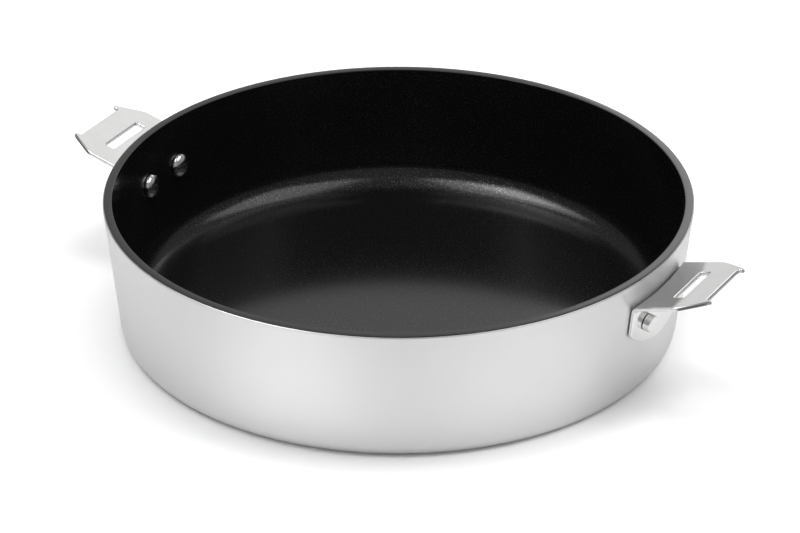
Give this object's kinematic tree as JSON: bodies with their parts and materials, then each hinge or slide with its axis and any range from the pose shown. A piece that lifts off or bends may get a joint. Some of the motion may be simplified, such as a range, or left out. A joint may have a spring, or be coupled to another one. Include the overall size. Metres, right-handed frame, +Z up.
{
  "type": "deep saute pan",
  "caption": "Deep straight-sided saute pan with a black non-stick inside, a satin silver wall and slotted steel brackets for clip-on handles.",
  "frame": {"origin": "middle of the underside, on the surface the pan stands on", "axes": "+X out through the right handle bracket, +Y towards the rear rivets, +Z up"},
  "size_m": [0.3568, 0.289, 0.0685],
  "materials": {
    "satin_aluminium": "fine satin silver, smooth",
    "black_nonstick": "semi-gloss black non-stick coating with fine mica flecks",
    "disc_steel": "turned stainless steel",
    "bracket_steel": "smooth bright stainless steel",
    "polished_steel": "polished stainless steel"
  },
  "bodies": {
    "root": {"pan_body": "satin_aluminium", "nonstick_lining": "black_nonstick", "base_disc": "disc_steel", "handle_bracket_right": "bracket_steel", "handle_bracket_left": "bracket_steel", "rivet_right_front": "polished_steel", "rivet_right_rear": "polished_steel", "rivet_left_front": "polished_steel", "rivet_left_rear": "polished_steel"}
  },
  "joints": []
}
